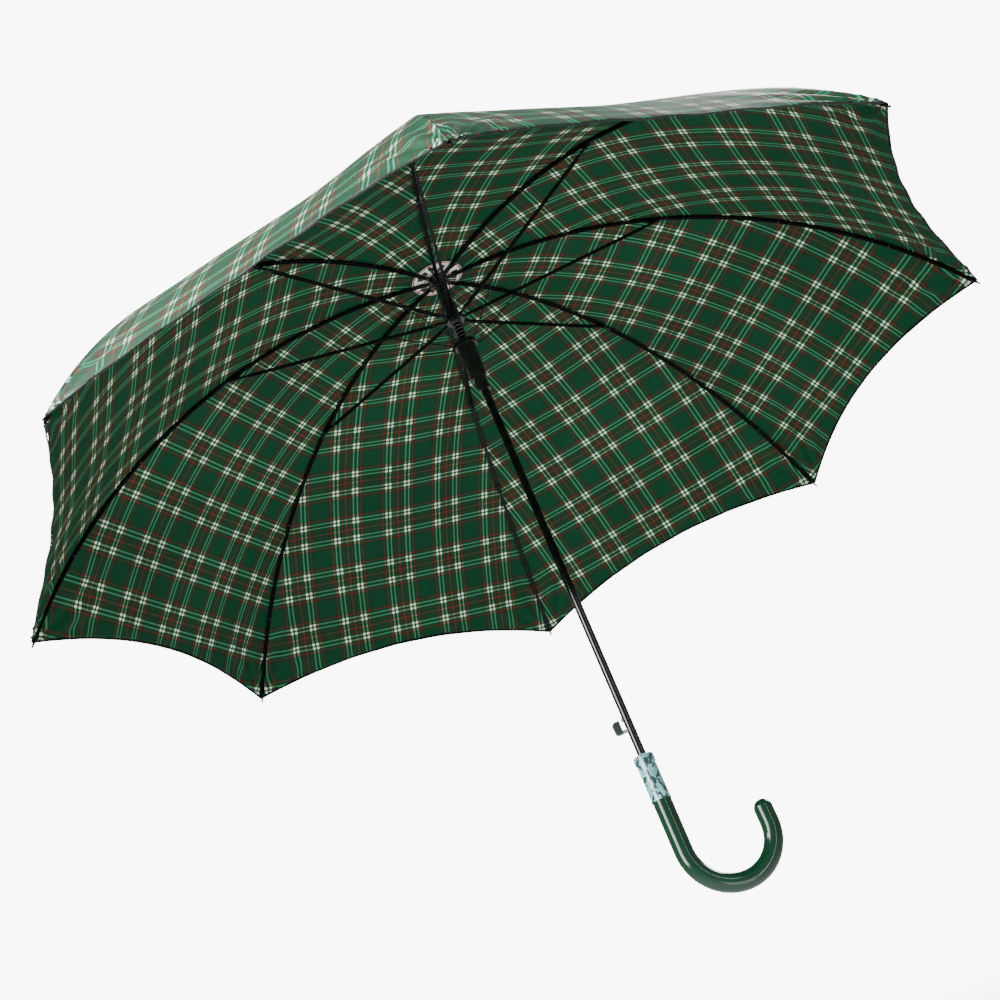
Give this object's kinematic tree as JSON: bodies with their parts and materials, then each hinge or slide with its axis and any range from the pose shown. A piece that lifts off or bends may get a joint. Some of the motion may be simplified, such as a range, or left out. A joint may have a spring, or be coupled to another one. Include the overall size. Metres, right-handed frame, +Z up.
{
  "type": "stick umbrella",
  "caption": "Open stick umbrella: scalloped check canopy on folding fluted ribs, sliding runners with a coil spring, button release and a J hook handle.",
  "frame": {"origin": "on the shaft's axis where the collar meets the handle, at the top of the straight grip", "axes": "+Z up the shaft toward the ferrule; +X toward the open end of the hook; -X is the button's side"},
  "size_m": [0.9996, 0.9996, 0.7629],
  "materials": {
    "black_steel": "satin black paint",
    "black_plastic": "satin moulded",
    "spring_steel": "dark drawn wire",
    "plaid_cloth": "woven check, water repellent",
    "patch_cloth": "printed woven patch",
    "green_gloss": "polished dark green",
    "collar_skin": "teal scale pattern, clear gloss",
    "button_plastic": "moulded grey green",
    "bright_steel": "plain strip steel"
  },
  "bodies": {
    "shaft": {"shaft_tube": "black_steel", "ferrule": "black_plastic", "outer_cap": "black_plastic", "crown": "black_plastic", "inner_patch": "patch_cloth", "handle": "green_gloss", "collar": "collar_skin"},
    "release": {"button": "button_plastic", "catch": "bright_steel"},
    "rib_1": {"rib_inner_1": "black_steel", "gore_1": "plaid_cloth"},
    "rib_tip_1": {"rib_outer_1": "black_steel"},
    "stretcher_1": {"stretcher_1": "black_steel"},
    "link_1": {"link_1": "black_steel"},
    "rib_2": {"rib_inner_2": "black_steel", "gore_2": "plaid_cloth"},
    "rib_tip_2": {"rib_outer_2": "black_steel"},
    "stretcher_2": {"stretcher_2": "black_steel"},
    "link_2": {"link_2": "black_steel"},
    "rib_3": {"rib_inner_3": "black_steel", "gore_3": "plaid_cloth"},
    "rib_tip_3": {"rib_outer_3": "black_steel"},
    "stretcher_3": {"stretcher_3": "black_steel"},
    "link_3": {"link_3": "black_steel"},
    "rib_4": {"rib_inner_4": "black_steel", "gore_4": "plaid_cloth"},
    "rib_tip_4": {"rib_outer_4": "black_steel"},
    "stretcher_4": {"stretcher_4": "black_steel"},
    "link_4": {"link_4": "black_steel"},
    "rib_5": {"rib_inner_5": "black_steel", "gore_5": "plaid_cloth", "tie_strap": "plaid_cloth", "strap_snap": "bright_steel"},
    "rib_tip_5": {"rib_outer_5": "black_steel"},
    "stretcher_5": {"stretcher_5": "black_steel"},
    "link_5": {"link_5": "black_steel"},
    "rib_6": {"rib_inner_6": "black_steel", "gore_6": "plaid_cloth"},
    "rib_tip_6": {"rib_outer_6": "black_steel"},
    "stretcher_6": {"stretcher_6": "black_steel"},
    "link_6": {"link_6": "black_steel"},
    "rib_7": {"rib_inner_7": "black_steel", "gore_7": "plaid_cloth"},
    "rib_tip_7": {"rib_outer_7": "black_steel"},
    "stretcher_7": {"stretcher_7": "black_steel"},
    "link_7": {"link_7": "black_steel"},
    "rib_8": {"rib_inner_8": "black_steel", "gore_8": "plaid_cloth"},
    "rib_tip_8": {"rib_outer_8": "black_steel"},
    "stretcher_8": {"stretcher_8": "black_steel"},
    "link_8": {"link_8": "black_steel"},
    "upper_runner": {"upper_runner": "black_plastic", "spring": "spring_steel"},
    "lower_runner": {"lower_runner": "black_plastic"}
  },
  "joints": [
    {"name": "canopy_fold", "type": "hinge", "parent": "shaft", "child": "rib_1", "pos_m": [0.00837, -0.00148, 0.6], "axis": [0.1736, 0.9848, 0], "range_deg": [0, 80.5], "stiffness_Nm_per_rad": 2.7, "springref_deg": -24.29, "deforming": ["spring", "catch", "gore_1", "gore_2", "gore_3", "gore_4", "gore_5", "gore_6", "gore_7", "gore_8", "tie_strap", "strap_snap"]},
    {"name": "rib_tip_1_hinge", "type": "hinge", "parent": "rib_1", "child": "rib_tip_1", "pos_m": [0.23961, -0.04225, 0.57553], "axis": [0.1736, 0.9848, 0], "range_deg": [-27.14, 0]},
    {"name": "stretcher_1_hinge", "type": "hinge", "parent": "rib_1", "child": "stretcher_1", "pos_m": [0.23146, -0.04081, 0.57419], "axis": [0.1736, 0.9848, 0], "range_deg": [-161, 0]},
    {"name": "rib_2_fold", "type": "hinge", "parent": "shaft", "child": "rib_2", "pos_m": [0.00696, 0.00488, 0.6], "axis": [-0.5736, 0.8192, 0], "range_deg": [0, 80.5]},
    {"name": "rib_tip_2_hinge", "type": "hinge", "parent": "rib_2", "child": "rib_tip_2", "pos_m": [0.1993, 0.13955, 0.57553], "axis": [-0.5736, 0.8192, 0], "range_deg": [-27.14, 0]},
    {"name": "stretcher_2_hinge", "type": "hinge", "parent": "rib_2", "child": "stretcher_2", "pos_m": [0.19253, 0.13481, 0.57419], "axis": [-0.5736, 0.8192, 0], "range_deg": [-161, 0]},
    {"name": "rib_3_fold", "type": "hinge", "parent": "shaft", "child": "rib_3", "pos_m": [0.00148, 0.00837, 0.6], "axis": [-0.9848, 0.1736, 0], "range_deg": [0, 80.5]},
    {"name": "rib_tip_3_hinge", "type": "hinge", "parent": "rib_3", "child": "rib_tip_3", "pos_m": [0.04225, 0.23961, 0.57553], "axis": [-0.9848, 0.1736, 0], "range_deg": [-27.14, 0]},
    {"name": "stretcher_3_hinge", "type": "hinge", "parent": "rib_3", "child": "stretcher_3", "pos_m": [0.04081, 0.23146, 0.57419], "axis": [-0.9848, 0.1736, 0], "range_deg": [-161, 0]},
    {"name": "rib_4_fold", "type": "hinge", "parent": "shaft", "child": "rib_4", "pos_m": [-0.00488, 0.00696, 0.6], "axis": [-0.8192, -0.5736, 0], "range_deg": [0, 80.5]},
    {"name": "rib_tip_4_hinge", "type": "hinge", "parent": "rib_4", "child": "rib_tip_4", "pos_m": [-0.13955, 0.1993, 0.57553], "axis": [-0.8192, -0.5736, 0], "range_deg": [-27.14, 0]},
    {"name": "stretcher_4_hinge", "type": "hinge", "parent": "rib_4", "child": "stretcher_4", "pos_m": [-0.13481, 0.19253, 0.57419], "axis": [-0.8192, -0.5736, 0], "range_deg": [-161, 0]},
    {"name": "rib_5_fold", "type": "hinge", "parent": "shaft", "child": "rib_5", "pos_m": [-0.00837, 0.00148, 0.6], "axis": [-0.1736, -0.9848, 0], "range_deg": [0, 80.5]},
    {"name": "rib_tip_5_hinge", "type": "hinge", "parent": "rib_5", "child": "rib_tip_5", "pos_m": [-0.23961, 0.04225, 0.57553], "axis": [-0.1736, -0.9848, 0], "range_deg": [-27.14, 0]},
    {"name": "stretcher_5_hinge", "type": "hinge", "parent": "rib_5", "child": "stretcher_5", "pos_m": [-0.23146, 0.04081, 0.57419], "axis": [-0.1736, -0.9848, 0], "range_deg": [-161, 0]},
    {"name": "rib_6_fold", "type": "hinge", "parent": "shaft", "child": "rib_6", "pos_m": [-0.00696, -0.00488, 0.6], "axis": [0.5736, -0.8192, 0], "range_deg": [0, 80.5]},
    {"name": "rib_tip_6_hinge", "type": "hinge", "parent": "rib_6", "child": "rib_tip_6", "pos_m": [-0.1993, -0.13955, 0.57553], "axis": [0.5736, -0.8192, 0], "range_deg": [-27.14, 0]},
    {"name": "stretcher_6_hinge", "type": "hinge", "parent": "rib_6", "child": "stretcher_6", "pos_m": [-0.19253, -0.13481, 0.57419], "axis": [0.5736, -0.8192, 0], "range_deg": [-161, 0]},
    {"name": "rib_7_fold", "type": "hinge", "parent": "shaft", "child": "rib_7", "pos_m": [-0.00148, -0.00837, 0.6], "axis": [0.9848, -0.1736, 0], "range_deg": [0, 80.5]},
    {"name": "rib_tip_7_hinge", "type": "hinge", "parent": "rib_7", "child": "rib_tip_7", "pos_m": [-0.04225, -0.23961, 0.57553], "axis": [0.9848, -0.1736, 0], "range_deg": [-27.14, 0]},
    {"name": "stretcher_7_hinge", "type": "hinge", "parent": "rib_7", "child": "stretcher_7", "pos_m": [-0.04081, -0.23146, 0.57419], "axis": [0.9848, -0.1736, 0], "range_deg": [-161, 0]},
    {"name": "rib_8_fold", "type": "hinge", "parent": "shaft", "child": "rib_8", "pos_m": [0.00488, -0.00696, 0.6], "axis": [0.8192, 0.5736, 0], "range_deg": [0, 80.5]},
    {"name": "rib_tip_8_hinge", "type": "hinge", "parent": "rib_8", "child": "rib_tip_8", "pos_m": [0.13955, -0.1993, 0.57553], "axis": [0.8192, 0.5736, 0], "range_deg": [-27.14, 0]},
    {"name": "stretcher_8_hinge", "type": "hinge", "parent": "rib_8", "child": "stretcher_8", "pos_m": [0.13481, -0.19253, 0.57419], "axis": [0.8192, 0.5736, 0], "range_deg": [-161, 0]},
    {"name": "upper_runner_hinge", "type": "hinge", "parent": "stretcher_1", "child": "upper_runner", "pos_m": [0.00837, -0.00148, 0.54838], "axis": [0.1736, 0.9848, 0], "range_deg": [0, 80.5]},
    {"name": "lower_runner_slide", "type": "slide", "parent": "upper_runner", "child": "lower_runner", "axis": [0, 0, 1], "range_m": [0, 0.02138]},
    {"name": "link_1_hinge", "type": "hinge", "parent": "lower_runner", "child": "link_1", "pos_m": [0.01077, 0.00064, 0.515], "axis": [0.1736, 0.9848, 0], "range_deg": [-55.31, 0]},
    {"name": "link_2_hinge", "type": "hinge", "parent": "lower_runner", "child": "link_2", "pos_m": [0.00717, 0.00807, 0.515], "axis": [-0.5736, 0.8192, 0], "range_deg": [-55.31, 0]},
    {"name": "link_3_hinge", "type": "hinge", "parent": "lower_runner", "child": "link_3", "pos_m": [-0.00064, 0.01077, 0.515], "axis": [-0.9848, 0.1736, 0], "range_deg": [-55.31, 0]},
    {"name": "link_4_hinge", "type": "hinge", "parent": "lower_runner", "child": "link_4", "pos_m": [-0.00807, 0.00717, 0.515], "axis": [-0.8192, -0.5736, 0], "range_deg": [-55.31, 0]},
    {"name": "link_5_hinge", "type": "hinge", "parent": "lower_runner", "child": "link_5", "pos_m": [-0.01077, -0.00064, 0.515], "axis": [-0.1736, -0.9848, 0], "range_deg": [-55.31, 0]},
    {"name": "link_6_hinge", "type": "hinge", "parent": "lower_runner", "child": "link_6", "pos_m": [-0.00717, -0.00807, 0.515], "axis": [0.5736, -0.8192, 0], "range_deg": [-55.31, 0]},
    {"name": "link_7_hinge", "type": "hinge", "parent": "lower_runner", "child": "link_7", "pos_m": [0.00064, -0.01077, 0.515], "axis": [0.9848, -0.1736, 0], "range_deg": [-55.31, 0]},
    {"name": "link_8_hinge", "type": "hinge", "parent": "lower_runner", "child": "link_8", "pos_m": [0.00807, -0.00717, 0.515], "axis": [0.8192, 0.5736, 0], "range_deg": [-55.31, 0]},
    {"name": "button_press", "type": "slide", "parent": "shaft", "child": "release", "axis": [1, 0, 0], "range_m": [0, 0.002], "stiffness_N_per_m": 800, "springref_m": -0.0004}
  ],
  "couplings": [
    {"joint": "rib_tip_1_hinge", "follows": "canopy_fold", "ratio": -0.337},
    {"joint": "stretcher_1_hinge", "follows": "canopy_fold", "ratio": -2},
    {"joint": "rib_2_fold", "follows": "canopy_fold", "ratio": 1},
    {"joint": "rib_tip_2_hinge", "follows": "canopy_fold", "ratio": -0.337},
    {"joint": "stretcher_2_hinge", "follows": "canopy_fold", "ratio": -2},
    {"joint": "rib_3_fold", "follows": "canopy_fold", "ratio": 1},
    {"joint": "rib_tip_3_hinge", "follows": "canopy_fold", "ratio": -0.337},
    {"joint": "stretcher_3_hinge", "follows": "canopy_fold", "ratio": -2},
    {"joint": "rib_4_fold", "follows": "canopy_fold", "ratio": 1},
    {"joint": "rib_tip_4_hinge", "follows": "canopy_fold", "ratio": -0.337},
    {"joint": "stretcher_4_hinge", "follows": "canopy_fold", "ratio": -2},
    {"joint": "rib_5_fold", "follows": "canopy_fold", "ratio": 1},
    {"joint": "rib_tip_5_hinge", "follows": "canopy_fold", "ratio": -0.337},
    {"joint": "stretcher_5_hinge", "follows": "canopy_fold", "ratio": -2},
    {"joint": "rib_6_fold", "follows": "canopy_fold", "ratio": 1},
    {"joint": "rib_tip_6_hinge", "follows": "canopy_fold", "ratio": -0.337},
    {"joint": "stretcher_6_hinge", "follows": "canopy_fold", "ratio": -2},
    {"joint": "rib_7_fold", "follows": "canopy_fold", "ratio": 1},
    {"joint": "rib_tip_7_hinge", "follows": "canopy_fold", "ratio": -0.337},
    {"joint": "stretcher_7_hinge", "follows": "canopy_fold", "ratio": -2},
    {"joint": "rib_8_fold", "follows": "canopy_fold", "ratio": 1},
    {"joint": "rib_tip_8_hinge", "follows": "canopy_fold", "ratio": -0.337},
    {"joint": "stretcher_8_hinge", "follows": "canopy_fold", "ratio": -2},
    {"joint": "upper_runner_hinge", "follows": "canopy_fold", "ratio": 1},
    {"joint": "lower_runner_slide", "follows": "canopy_fold", "m_per_rad": 0.015217},
    {"joint": "link_1_hinge", "follows": "canopy_fold", "ratio": -0.687},
    {"joint": "link_2_hinge", "follows": "canopy_fold", "ratio": -0.687},
    {"joint": "link_3_hinge", "follows": "canopy_fold", "ratio": -0.687},
    {"joint": "link_4_hinge", "follows": "canopy_fold", "ratio": -0.687},
    {"joint": "link_5_hinge", "follows": "canopy_fold", "ratio": -0.687},
    {"joint": "link_6_hinge", "follows": "canopy_fold", "ratio": -0.687},
    {"joint": "link_7_hinge", "follows": "canopy_fold", "ratio": -0.687},
    {"joint": "link_8_hinge", "follows": "canopy_fold", "ratio": -0.687}
  ]
}
